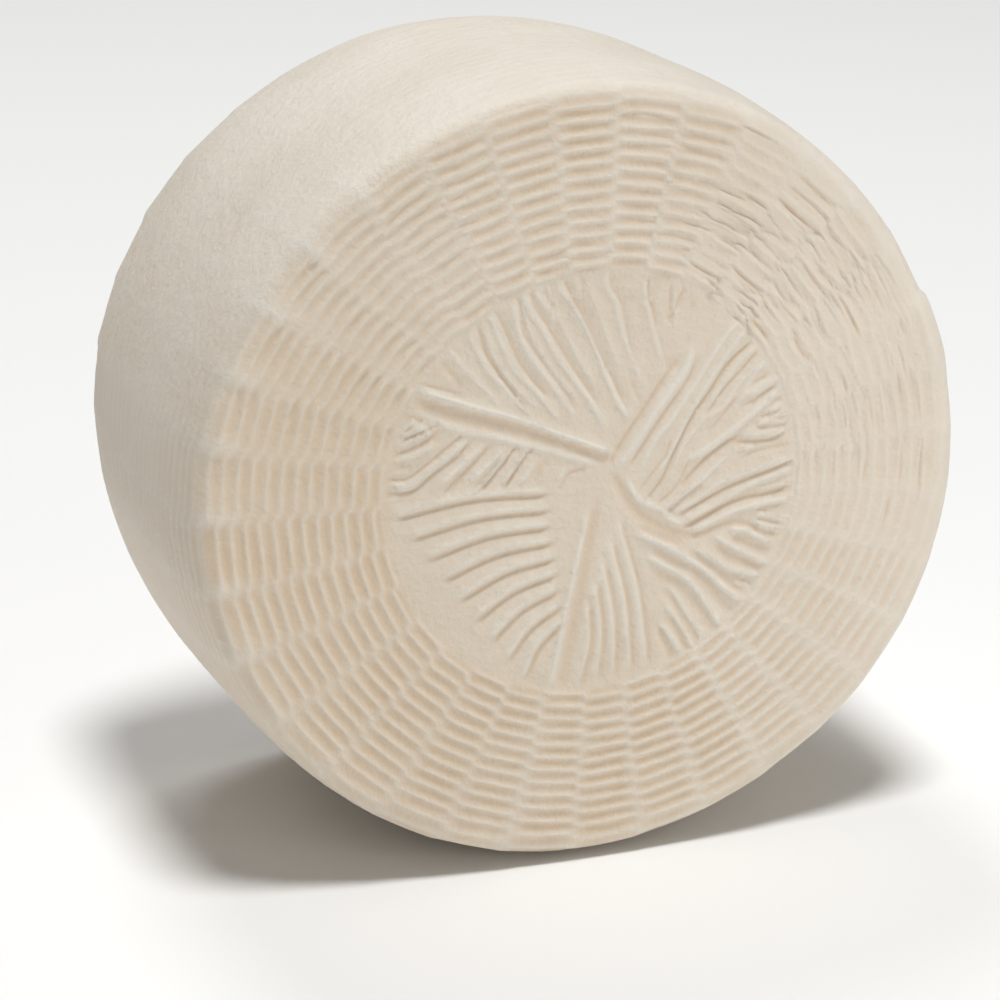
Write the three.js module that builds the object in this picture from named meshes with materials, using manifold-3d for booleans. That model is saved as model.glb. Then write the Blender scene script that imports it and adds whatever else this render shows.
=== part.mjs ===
// A wheel of fresh basket-moulded primo sale cheese, standing on its rim.
// Millimetres, +Z up. The axle runs along Y and the front face looks towards -Y.
// Its origin is at the bottom centre, on the small flat that the soft rim rests on.

import * as THREE from "three";
import * as BufferGeometryUtils from "three/addons/utils/BufferGeometryUtils.js";
import Module from "manifold-3d";

// Wheel
const WHEEL_RADIUS = 115;
const WHEEL_THICKNESS = 126;
const BELLY_HALF_LENGTH = 20;
const FRONT_TAPER = 2.4;
const BACK_TAPER = 4.1;
const SHOULDER_ROUND = 6;
const FACE_DOME = 1.8;
const REST_FLAT_DEPTH = 1.0;

// Slump of a soft cheese: how far the rim strays from a true circle
const OVAL_SWELL = 0.9;
const OVAL_TURN = THREE.MathUtils.degToRad(-8);
const TRIPLE_SWELL = 0.45;
const TRIPLE_TURN = THREE.MathUtils.degToRad(-34);
const SQUARE_SWELL = 0.55;
const SQUARE_TURN = THREE.MathUtils.degToRad(-14);

// Basket weave: stakes run across the faces like spokes, weavers run round between them
const STAKES = 34;
const CLOSE_STAKES = 23;
const CLOSE_STAKE_STEP = THREE.MathUtils.degToRad(10.41);
const FIRST_STAKE = THREE.MathUtils.degToRad(-59.5);
const WEAVER_ROWS = 24;
const WEAVER_WIDTH = 1.98;
const WEAVER_RELIEF = 0.5;
const STAKE_RIDGE = 0.3;
const SIDE_FLUTE = 0.35;
const FADING_ROWS = 4;

// Plain middle disc, moulded by the base of the basket
const DISC_RADIUS = 62.5;
const DISC_RECESS = 0.8;
const DISC_WALL = 0.7;
const BAR_STEPS = 3;
const RUSH_STEPS = 2;
const BACK_DISC_TURN = THREE.MathUtils.degToRad(64);

// Side rings between the shoulder and the middle, as shares of that stretch
const SIDE_RINGS = [0.12, 0.34, 0.62];

const CHEESE_COLOUR = 0xe6dcc8;
const CHEESE_ROUGHNESS = 0.55;

// Bars: thick bundles of rush, given as [from, to, bend, width, height] in the disc's plane
const SUNK_BARS = [
  [[-51, 29], [4, 7], -0.8, 3.2, 1.0],
  [[5, 5], [22.5, 31], 0.6, 2.4, 0.8],
  [[8.5, -4], [38, -18], 1.6, 2.6, 0.9],
  [[1, -6], [-9, -58], -1.2, 2.6, 0.9],
];
const RAISED_BARS = [
  [[-52, 32.6], [6, 9.6], -0.8, 2.6, 0.8],
  [[-51, 25.2], [4, 4.2], -0.8, 2.0, 0.5],
  [[9, 4], [29, 37], 0.8, 2.8, 0.7],
  [[16, -16], [47, -39], -1.4, 2.2, 0.7],
];

// Fans: rows of single rushes. Each runs from its tips to its feet, first rush to last.
const FANS = [
  { rushes: 6, tips: [[-41, 43.5], [-8.5, 59]], feet: [[-24, 27], [11.5, 19]], bend: -2.4 },
  { rushes: 3, tips: [[5, 60], [22.5, 55]], feet: [[13, 29], [23, 45]], bend: -0.8 },
  { rushes: 4, tips: [[29, 28], [53, 24]], feet: [[12, 4.5], [28, 0]], bend: -1.0 },
  { rushes: 3, tips: [[60, 8], [60.5, -8]], feet: [[42, 8], [28, -14]], bend: 1.4 },
  { rushes: 3, tips: [[58, -20.5], [51, -31]], feet: [[44, -17], [32, -22]], bend: 0.8 },
  { rushes: 3, tips: [[42, -42], [22, -55]], feet: [[24, -27], [16, -25]], bend: 1.5 },
  { rushes: 5, tips: [[-56, 18], [-27, 2.5]], feet: [[-44, 22], [-17, 13.5]], bend: 1.2 },
  { rushes: 5, tips: [[-57, -8], [-22, -55]], feet: [[-20, -3], [-6, -34]], bend: 1.6 },
  { rushes: 2, tips: [[2, -59], [14, -57]], feet: [[-2, -33], [7, -14]], bend: -1.2 },
];
const RUSH_WIDTH = 1.7;
const RUSH_DEPTH = 0.7;

const manifold = await Module();
manifold.setup();

// A closed three.js geometry as a solid that can be joined and cut.
function toSolid(geometry) {
  geometry.deleteAttribute("normal");
  geometry.deleteAttribute("uv");
  const merged = BufferGeometryUtils.mergeVertices(geometry, 1e-4);
  const corners = merged.index.array;
  const kept = [];
  for (let i = 0; i < corners.length; i += 3) {
    const [a, b, c] = [corners[i], corners[i + 1], corners[i + 2]];
    if (a !== b && b !== c && c !== a) {
      kept.push(a, b, c);
    }
  }
  return new manifold.Manifold(new manifold.Mesh({
    numProp: 3,
    vertProperties: new Float32Array(merged.attributes.position.array),
    triVerts: new Uint32Array(kept),
  }));
}

function toGeometry(solid) {
  const mesh = solid.getMesh();
  const geometry = new THREE.BufferGeometry();
  geometry.setAttribute("position", new THREE.BufferAttribute(mesh.vertProperties, 3));
  geometry.setIndex(new THREE.BufferAttribute(mesh.triVerts, 1));
  return geometry;
}

// Angle of stake number i: the first ones stand closer together than the rest.
function stakeAngle(i) {
  const closeTurn = CLOSE_STAKES * CLOSE_STAKE_STEP;
  const wideStep = (2 * Math.PI - closeTurn) / (STAKES - CLOSE_STAKES);
  if (i <= CLOSE_STAKES) {
    return FIRST_STAKE + i * CLOSE_STAKE_STEP;
  }
  return FIRST_STAKE + closeTurn + (i - CLOSE_STAKES) * wideStep;
}

// Half of the wheel's outline as [radius, depth behind the face], from disc edge to belly.
function halfOutline(taper) {
  const shoulderRadius = WHEEL_RADIUS - taper;
  const roundStart = shoulderRadius - SHOULDER_ROUND;
  const roundDepth = FACE_DOME + SHOULDER_ROUND;
  const bellyDepth = WHEEL_THICKNESS / 2 - BELLY_HALF_LENGTH;
  const path = new THREE.Path();
  path.moveTo(DISC_RADIUS, 0);
  path.lineTo(roundStart, FACE_DOME);
  path.absarc(roundStart, roundDepth, SHOULDER_ROUND, -Math.PI / 2, 0, false);
  path.quadraticCurveTo(WHEEL_RADIUS, (roundDepth + bellyDepth) / 2, WHEEL_RADIUS, bellyDepth);
  return path;
}

// Rings of the outline, each with its place, outward direction and weaver row (if any).
function halfRings(taper) {
  const path = halfOutline(taper);
  const length = path.getLength();
  const wovenShare = (WEAVER_ROWS * WEAVER_WIDTH) / length;
  const shares = [0];
  const rows = [null];
  for (let row = 0; row < WEAVER_ROWS; row += 1) {
    shares.push(((row + 0.5) / WEAVER_ROWS) * wovenShare);
    rows.push(row);
  }
  for (const side of SIDE_RINGS) {
    shares.push(wovenShare + side * (1 - wovenShare));
    rows.push(null);
  }
  shares.push(1);
  rows.push(null);
  return shares.map((share, i) => {
    const point = path.getPointAt(share);
    const along = path.getTangentAt(share);
    return {
      radius: point.x,
      depth: point.y,
      outRadius: along.y,
      outDepth: -along.x,
      row: rows[i],
      onSide: share > wovenShare,
    };
  });
}

// Both halves and both disc edges in one list, from the back to the front.
function wheelRings() {
  const half = WHEEL_THICKNESS / 2;
  const disc = {
    radius: DISC_RADIUS - DISC_WALL,
    depth: DISC_RECESS,
    outRadius: 0,
    outDepth: 0,
    row: null,
  };
  const front = [disc, ...halfRings(FRONT_TAPER)];
  const back = [disc, ...halfRings(BACK_TAPER)];
  const place = (ring, side) => ({
    ...ring,
    y: side * (half - ring.depth),
    outY: -side * ring.outDepth,
  });
  return [
    ...back.map((ring) => place(ring, 1)),
    ...front.map((ring) => place(ring, -1)).reverse(),
  ];
}

// Height of the weave above the plain surface at a column: even columns are stakes.
function weaveHeight(ring, column) {
  const onStake = column % 2 === 0;
  if (ring.onSide) {
    return onStake ? SIDE_FLUTE : -SIDE_FLUTE / 2;
  }
  if (ring.row === null) {
    return 0;
  }
  if (onStake) {
    return STAKE_RIDGE;
  }
  const fade = Math.min(1, (WEAVER_ROWS - ring.row) / FADING_ROWS);
  const over = (ring.row + (column - 1) / 2) % 2 === 0;
  return (over ? 1 : -1) * WEAVER_RELIEF * fade;
}

function slump(angle) {
  return OVAL_SWELL * Math.cos(2 * (angle - OVAL_TURN))
    + TRIPLE_SWELL * Math.cos(3 * (angle - TRIPLE_TURN))
    + SQUARE_SWELL * Math.cos(4 * (angle - SQUARE_TURN));
}

// Angle of a column: even columns lie on stakes and odd ones midway between two.
function columnAngle(column) {
  return (stakeAngle(Math.floor(column / 2)) + stakeAngle(Math.ceil(column / 2))) / 2;
}

// Triangles between two neighbouring columns, whose points are listed by ring.
function stitch(left, right) {
  const faces = [];
  let i = 0;
  let j = 0;
  while (i < left.length - 1 || j < right.length - 1) {
    const rightIsDone = j === right.length - 1;
    if (rightIsDone || (i < left.length - 1 && left[i + 1].ring <= right[j + 1].ring)) {
      faces.push(left[i].vertex, right[j].vertex, left[i + 1].vertex);
      i += 1;
    } else {
      faces.push(left[i].vertex, right[j].vertex, right[j + 1].vertex);
      j += 1;
    }
  }
  return faces;
}

// The woven wheel: every ring of the outline is pushed out and in by the weave.
function makeWheel() {
  const rings = wheelRings();
  const discCentre = WHEEL_THICKNESS / 2 - DISC_RECESS;
  const positions = [0, discCentre, 0, 0, -discCentre, 0];
  const columns = Array.from({ length: 2 * STAKES }, (_, column) => {
    const angle = columnAngle(column);
    const swell = 1 + slump(angle) / WHEEL_RADIUS;
    const points = [];
    rings.forEach((ring, i) => {
      if (column % 2 === 0 && ring.row % 2 === 1) {
        return;
      }
      const height = weaveHeight(ring, column);
      const radius = (ring.radius + height * ring.outRadius) * swell;
      points.push({ ring: i, vertex: positions.length / 3 });
      positions.push(radius * Math.cos(angle), ring.y + height * ring.outY, radius * Math.sin(angle));
    });
    return points;
  });
  const faces = columns.flatMap((column, i) => {
    const next = columns[(i + 1) % columns.length];
    return [
      0, next[0].vertex, column[0].vertex,
      1, column[column.length - 1].vertex, next[next.length - 1].vertex,
      ...stitch(column, next),
    ];
  });
  const geometry = new THREE.BufferGeometry();
  geometry.setAttribute("position", new THREE.Float32BufferAttribute(positions, 3));
  geometry.setIndex(faces);
  return toSolid(geometry);
}

// A diamond-section rod lying half in the disc. Its ends leave the surface by lift.
function makeRod([from, to, bend, width, height], steps, lift, side) {
  const turn = side < 0 ? 0 : BACK_DISC_TURN;
  const start = new THREE.Vector2(...from);
  const end = new THREE.Vector2(...to);
  const across = end.clone().sub(start).normalize().rotateAround(new THREE.Vector2(), Math.PI / 2);
  const surface = side * (WHEEL_THICKNESS / 2 - DISC_RECESS);
  const points = Array.from({ length: steps + 1 }, (_, i) => {
    const share = i / steps;
    const point = start.clone().lerp(end, share).addScaledVector(across, bend * 4 * share * (1 - share));
    point.rotateAround(new THREE.Vector2(), turn);
    const rise = share === 0 || share === 1 ? lift : 0;
    return new THREE.Vector3(-side * point.x, surface + side * rise, point.y);
  });
  const halfWidth = width / 2;
  const section = new THREE.Shape([
    new THREE.Vector2(halfWidth, 0),
    new THREE.Vector2(0, height),
    new THREE.Vector2(-halfWidth, 0),
    new THREE.Vector2(0, -height),
  ]);
  return toSolid(new THREE.ExtrudeGeometry(section, {
    steps,
    bevelEnabled: false,
    extrudePath: new THREE.CatmullRomCurve3(points),
  }));
}

// Every single rush of a fan, evenly spread between its first and its last.
function fanRushes({ rushes, tips, feet, bend }) {
  const between = ([first, last], share) => [
    THREE.MathUtils.lerp(first[0], last[0], share),
    THREE.MathUtils.lerp(first[1], last[1], share),
  ];
  return Array.from({ length: rushes }, (_, i) => {
    const share = i / (rushes - 1);
    return [between(tips, share), between(feet, share), bend, RUSH_WIDTH, RUSH_DEPTH];
  });
}

function markDisc(wheel, side) {
  let marked = wheel;
  for (const bar of RAISED_BARS) {
    marked = marked.add(makeRod(bar, BAR_STEPS, -bar[4], side));
  }
  for (const bar of SUNK_BARS) {
    marked = marked.subtract(makeRod(bar, BAR_STEPS, bar[4], side));
  }
  for (const rush of FANS.flatMap(fanRushes)) {
    marked = marked.subtract(makeRod(rush, RUSH_STEPS, RUSH_DEPTH, side));
  }
  return marked;
}

// The block below the rest flat, cut away from the bottom of the rim.
function makeRestCut() {
  const block = new THREE.BoxGeometry(WHEEL_RADIUS, 2 * WHEEL_THICKNESS, WHEEL_RADIUS);
  block.translate(0, 0, REST_FLAT_DEPTH - 1.5 * WHEEL_RADIUS);
  return toSolid(block);
}

function makeCheese() {
  let cheese = makeWheel();
  cheese = markDisc(cheese, -1);
  cheese = markDisc(cheese, 1);
  cheese = cheese.subtract(makeRestCut());
  const geometry = toGeometry(cheese);
  geometry.computeBoundingBox();
  const box = geometry.boundingBox;
  const middle = box.getCenter(new THREE.Vector3());
  geometry.translate(-middle.x, -middle.y, -box.min.z);
  const material = new THREE.MeshStandardMaterial({
    color: CHEESE_COLOUR,
    roughness: CHEESE_ROUGHNESS,
    metalness: 0,
  });
  const mesh = new THREE.Mesh(geometry, material);
  mesh.name = "cheese_wheel";
  return mesh;
}

const group = new THREE.Group();
group.add(makeCheese());

export default group;
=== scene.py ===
"""A whole wheel of fresh primo sale cheese, moulded in a woven basket and standing on its rim."""

import math

import bpy
import numpy as np
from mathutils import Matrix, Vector
from mathutils.geometry import delaunay_2d_cdt


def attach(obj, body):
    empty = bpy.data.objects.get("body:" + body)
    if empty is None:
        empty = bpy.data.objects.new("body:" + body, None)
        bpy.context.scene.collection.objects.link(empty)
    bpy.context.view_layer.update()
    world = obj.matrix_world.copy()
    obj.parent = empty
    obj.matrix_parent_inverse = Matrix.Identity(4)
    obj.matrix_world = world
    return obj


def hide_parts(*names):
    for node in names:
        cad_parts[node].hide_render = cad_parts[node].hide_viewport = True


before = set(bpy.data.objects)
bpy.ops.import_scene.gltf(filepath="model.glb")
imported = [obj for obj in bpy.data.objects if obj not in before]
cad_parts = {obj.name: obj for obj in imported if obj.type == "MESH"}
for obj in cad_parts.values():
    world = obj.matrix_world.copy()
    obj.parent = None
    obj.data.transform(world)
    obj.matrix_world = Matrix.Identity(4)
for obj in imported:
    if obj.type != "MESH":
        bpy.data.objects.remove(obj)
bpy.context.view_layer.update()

bl_info = {
    "name": "Basket-moulded cheese",
    "version": (1, 0, 0),
    "blender": (4, 5, 0),
    "location": "3D View > Sidebar > Cheese",
    "description": "Builds a wheel of fresh cheese with the impression of its woven basket",
    "category": "Add Mesh",
}

MM = 0.001
NODE = "cheese_wheel"

# The basket: stakes run out across the faces like spokes, weavers run round between them. Angles are in
# degrees, counted from +X towards +Z, as seen from the front. A place round the basket is counted in
# stakes, and a reach is the way along the outline from the disc's edge outwards. Both are soft where a
# third number follows two angles or reaches: it is the half width of the change, in the same unit.
STAKES = 34
CLOSE_STAKES = 23
CLOSE_STEP = 10.41
WIDE_STEP = (360.0 - CLOSE_STAKES * CLOSE_STEP) / (STAKES - CLOSE_STAKES)
FIRST_STAKE = -59.5
WEAVER_ROWS = 24
SIDE_ROW = 2.3

# The mesh: its columns from one stake to the next, its stations for each row of the front and of the
# back and along the side (in mm), and the stations on the wall round the disc.
COLUMN_SHARES = (0.0, 0.09, 0.23, 0.41, 0.59, 0.77, 0.91)
FRONT_STATIONS = 5
BACK_STATIONS = 3
SIDE_STATION = 1.3
OUTLINE_STEPS = 400
WALL = 1.8
WALL_SHARES = np.array([1.0, 0.75, 0.5, 0.25])

# How far the soft rim strays from a true circle: (waves round the rim, height in mm, turn)
SLUMP = [(2, 0.9, -8), (3, 0.45, -34), (4, 0.55, -14)]

# How the weave came out between each pair of stakes, counted on from the first stake. Its rows are
# (clearness, shift of the rows outwards, sag in their middle, climb from stake to stake), the last
# three in mm.
SECTORS = [
    (0.80, -0.8, 0.2, 0.0), (0.95, -0.7, 0.2, 0.0), (0.90, -0.4, 0.4, 0.2), (1.05, -0.5, 0.2, 0.7),
    (0.60, -0.5, 0.0, 0.3), (0.80, -2.6, 0.4, 0.0), (0.80, -0.5, 0.0, 0.0), (0.40, -0.4, 0.6, 0.0),
    (0.50, -1.1, 1.0, 0.0), (0.70, -1.9, 1.0, 0.0), (0.50, -1.9, 1.2, 0.0), (0.60, -0.6, 0.8, 0.0),
    (1.10, 0.0, -0.2, -1.5), (1.30, 0.4, 0.3, -0.2), (1.15, 0.5, 0.4, 0.2), (1.10, 1.0, 0.3, 0.4),
    (1.25, 1.3, 0.8, 1.2), (1.25, 1.0, 0.0, 0.0), (1.10, 0.6, -0.6, 0.2), (1.45, 0.0, -0.4, 0.0),
    (1.60, -0.1, 0.4, 1.0), (1.40, -0.2, 0.4, -0.4), (1.10, -0.7, 0.0, -0.6),
]
PLAIN_SECTOR = (1.0, -0.6, 0.2, 0.2)
# Half widths, in stakes, of the change from one sector to the next.
SHIFT_BLEND = 0.12
CLEARNESS_BLEND = 0.25
# Between these angles the weave gets fainter from one stake to the next, by a share that rises and falls
# between these places past the stake.
UNEVEN_SECTORS = (138.0, 180.0, 1)
UNEVEN_SHARE = 0.4
UNEVEN_RISE = (0.3, 0.9)
UNEVEN_FALL = (0.93, 1.0)
# Between these angles the rows step outwards at a stake instead of inwards.
OUTWARD_STEPS = (81.0, 122.0)
# Between these angles the weave runs further out over the shoulder, by so many mm.
OVER_SHOULDER = (62, 200, 8)
OVER_SHOULDER_MM = 5
# Rows between which the weave sets in, and reaches in mm between which it gives way to the side's weave,
# its rows are no longer shifted, its tint and wrinkles end, and its grooves close less at the stakes.
WEAVE_START = (-1.0, 0.2)
WEAVE_END = (38, 48)
SHIFT_END = (40, 47)
TINT_END = (41, 49)
TINT_END_SHARES = (0.6, 0.4)
WRINKLES_END = (38, 46)
GAP_LOSS_REACH = (46, 58)
GAP_LOSS = 0.5
# The side's weave is clearer near the shoulder between these angles and reaches.
SIDE_CLEARNESS = 0.3
CLEARER_SIDE = (152, 300, 14)
CLEARER_SIDE_END = (58, 84)
CLEARER_BY = 0.45
# How far grooves close at the stakes, and what is added to that: (first angle, last angle, share)
GAP = 0.6
GAP_CHANGES = [(66, 200, -0.15), (298, 342, 0.2)]
GAP_SOFTNESS = 6

# Bulges where the stakes bend over the shoulder: their height in mm, how much more between which angles,
# where they begin, peak and end past a stake, how much lies below the mean, and their reach. Flutes of
# the side follow them with a share of their height.
BULGE_HEIGHT = 0.12
BULGE_HIGHER = 0.6
BULGE_HIGHER_ANGLES = (128, 205, 12)
BULGE_PLACES = (-0.42, -0.06, 0.12)
BULGE_MEAN = 0.4
BULGE_REACH = (40, 50, 5)
FLUTE_SHARE = 0.12
FLUTE_START = (46, 56)

# A step of the front rim: angles between which it rises, falls away and comes back, how far it stands
# proud before and lies back after the fall, in mm, and its reach.
STEP_RISE = (8, 15)
STEP_FALL = (22.4, 24.2)
STEP_RETURN = (26, 38)
STEP_PROUD = 0.8
STEP_BACK = 0.5
STEP_REACH = (42, 64, 7)

# Marks on the middle disc, in mm right and up from its centre, seen from the front: each is
# (points, width, depth or height). GROOVES are pressed in and RIDGES stand proud.
GROOVES = {
    "bars": [
        ([(-53.0, 28.8), (-47.5, 26.6), (-40.0, 23.8), (-30.0, 20.6), (-20.0, 17.2), (-10.0, 13.0)],
         5.6, 0.75),
        ([(-16.0, 15.6), (-8.0, 12.0), (0.0, 8.6), (4.5, 6.9)], 4.2, 0.7),
        ([(5.5, 3.0), (8.5, -3.5), (11.9, -8.5), (17.7, -13.4), (26.5, -17.8), (34.0, -18.0)], 3.8, 0.75),
        ([(31.0, -18.2), (37.7, -16.7), (43.5, -16.0), (48.5, -18.0), (53.1, -20.0), (59.5, -21.5)],
         3.0, 0.6),
        ([(13.8, -13.8), (19.5, -17.4), (27.6, -20.6)], 2.4, 0.6),
        ([(1.0, -5.0), (-3.0, -26.0), (-9.0, -57.0)], 4.4, 0.75),
    ],
    "top fan": [
        ([(-52.0, 33.6), (-48.0, 32.9), (-43.5, 31.5), (-38.0, 29.0)], 1.5, 0.6),
        ([(-49.0, 37.0), (-45.5, 35.6)], 1.5, 0.5),
        ([(-45.2, 39.5), (-41.5, 35.5), (-38.6, 31.0)], 2.6, 0.6),
        ([(-41.5, 43.6), (-38.5, 38.5), (-33.5, 33.0), (-28.5, 28.5)], 1.5, 0.35),
        ([(-35.5, 51.6), (-33.6, 46.8), (-31.9, 40.5), (-28.4, 34.9), (-23.0, 27.6), (-19.7, 23.8)],
         1.6, 0.9),
        ([(-29.2, 53.2), (-25.7, 45.5), (-22.6, 38.2), (-16.7, 29.9), (-13.2, 26.2)], 1.6, 0.8),
        ([(-21.9, 53.0), (-20.9, 45.3), (-16.3, 38.2), (-9.0, 28.0), (-5.0, 21.0)], 1.6, 0.55),
        ([(-17.6, 52.4), (-13.8, 46.6), (-9.4, 39.2), (-4.6, 31.5), (1.4, 22.5)], 1.7, 0.75),
        ([(-16.5, 58.6), (-14.0, 54.5), (-11.5, 50.5)], 1.4, 0.5),
        ([(-9.2, 59.4), (-5.5, 52.0), (-2.0, 45.6), (0.9, 39.0), (5.8, 29.1), (9.0, 22.0)], 1.7, 0.9),
        ([(-3.4, 51.0), (-2.6, 47.4)], 1.3, 0.5),
        ([(4.0, 60.2), (5.4, 54.9), (8.1, 50.2), (10.2, 40.5), (12.2, 31.5)], 1.6, 0.6),
        ([(10.6, 29.5), (12.5, 25.0), (14.5, 21.5)], 1.8, 0.5),
        ([(15.7, 58.0), (16.0, 52.4), (17.1, 48.2), (18.3, 43.4)], 1.7, 0.95),
        ([(18.3, 43.4), (20.5, 36.0), (22.0, 31.0)], 1.3, 0.3),
        ([(22.5, 55.2), (22.3, 50.7), (22.1, 45.0)], 1.5, 0.8),
        ([(28.4, 51.5), (28.5, 47.5)], 1.4, 0.4),
        ([(8.0, 58.7), (12.0, 58.3)], 1.4, 0.5),
        ([(13.0, 60.0), (16.7, 59.1), (19.0, 57.2), (24.0, 56.3)], 1.3, 0.7),
        ([(36.0, 49.5), (41.5, 44.5)], 1.5, 0.5),
        ([(44.8, 43.2), (47.5, 38.4), (52.1, 34.7), (55.4, 32.6), (59.2, 27.6)], 1.3, 0.9),
        ([(58.3, 23.5), (59.8, 17.5)], 1.3, 0.5),
    ],
    "left fan": [
        ([(-55.6, 21.3), (-52.9, 22.5), (-50.4, 23.5)], 1.6, 0.7),
        ([(-56.4, 18.5), (-51.8, 20.0), (-45.8, 22.4)], 1.6, 0.7),
        ([(-59.0, 14.2), (-55.0, 15.3), (-51.4, 16.4), (-45.2, 19.7)], 2.0, 0.9),
        ([(-59.0, 10.8), (-54.0, 11.0)], 1.8, 0.5),
        ([(-55.2, 7.4), (-51.0, 9.6), (-43.9, 14.6), (-38.0, 18.8)], 1.7, 0.8),
        ([(-53.5, 3.6), (-46.8, 8.3), (-40.5, 12.2), (-36.2, 16.0)], 1.9, 0.8),
        ([(-44.4, 2.0), (-36.4, 8.9), (-30.5, 14.6)], 2.0, 0.8),
        ([(-35.5, 2.8), (-31.4, 6.4), (-27.5, 10.2)], 1.8, 0.45),
        ([(-33.4, 1.6), (-27.9, 7.5), (-22.7, 13.6)], 1.6, 0.95),
        ([(-26.4, 1.8), (-22.5, 7.1), (-18.0, 12.5)], 1.6, 0.95),
        ([(-18.5, 2.5), (-14.0, 8.8)], 3.2, 0.5),
        ([(-10.6, -0.6), (-7.0, 4.0), (-2.5, 4.6)], 1.7, 0.6),
    ],
    "right fan": [
        ([(4.2, 4.9), (10.0, 13.7), (16.7, 22.8), (21.7, 29.9), (25.4, 34.4)], 2.0, 0.85),
        ([(10.4, 3.7), (14.2, 9.1), (20.8, 18.2), (27.1, 26.2), (30.6, 33.0)], 1.8, 0.8),
        ([(13.2, -4.0), (17.7, 1.5), (21.5, 6.2), (23.0, 10.5)], 1.6, 0.6),
        ([(14.4, -7.2), (20.0, -1.6), (25.0, 8.4), (29.2, 16.2), (34.6, 23.2), (40.5, 31.2)], 1.8, 1.0),
        ([(18.6, -8.0), (22.7, -5.4), (25.8, -2.0), (28.6, 3.6)], 1.7, 0.7),
        ([(26.6, -3.0), (31.9, 2.3), (38.3, 7.0), (44.0, 9.6)], 1.9, 1.0),
        ([(33.5, 16.0), (37.5, 22.0), (43.3, 27.8), (49.0, 33.4)], 1.5, 0.7),
        ([(35.2, 12.2), (40.4, 17.8), (43.4, 21.2)], 1.5, 0.6),
        ([(44.6, 18.4), (48.3, 19.2), (52.0, 21.8)], 1.8, 0.7),
        ([(49.0, 24.8), (53.6, 27.1)], 1.8, 0.6),
        ([(42.0, 7.9), (48.0, 7.3), (54.2, 7.4), (58.5, 9.6)], 1.8, 0.9),
        ([(50.0, 11.3), (56.0, 11.1)], 1.5, 0.5),
        ([(51.0, 14.4), (57.0, 14.0)], 1.5, 0.5),
        ([(55.0, 18.8), (58.8, 18.4)], 1.5, 0.5),
        ([(44.0, 2.6), (49.2, 4.4), (55.0, 5.0)], 1.7, 0.5),
        ([(22.0, -10.8), (25.8, -7.7), (32.7, -3.5)], 1.7, 0.8),
        ([(25.6, -11.6), (33.5, -8.5), (41.9, -5.0), (53.1, -1.9), (60.6, 0.3)], 1.8, 1.0),
        ([(27.0, -16.0), (34.6, -12.7), (43.5, -9.4), (52.0, -8.7), (60.0, -7.5)], 2.2, 1.0),
        ([(50.0, -12.9), (58.0, -12.6)], 1.5, 0.5),
        ([(50.0, -16.0), (58.5, -17.6)], 1.5, 0.4),
    ],
    "lower right fan": [
        ([(42.0, -20.2), (46.5, -22.6), (53.5, -25.9)], 3.2, 0.55),
        ([(36.8, -22.4), (42.5, -26.4), (50.5, -30.2)], 3.2, 0.55),
        ([(29.5, -23.4), (36.0, -28.4), (41.0, -33.0), (47.5, -37.8)], 3.2, 0.5),
        ([(43.0, -31.9), (47.4, -34.3)], 1.6, 0.6),
        ([(17.0, -20.6), (23.5, -25.0), (31.0, -29.4), (37.0, -36.5), (41.5, -42.0)], 3.4, 0.5),
        ([(18.5, -28.4), (25.0, -32.0), (30.0, -37.5), (34.6, -44.0)], 4.0, 0.45),
        ([(21.0, -33.5), (25.0, -38.5), (28.8, -45.0)], 3.4, 0.4),
        ([(23.0, -41.5), (26.9, -48.6)], 3.0, 0.6),
        ([(20.3, -46.0), (24.0, -53.0)], 2.4, 0.7),
    ],
}
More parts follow.
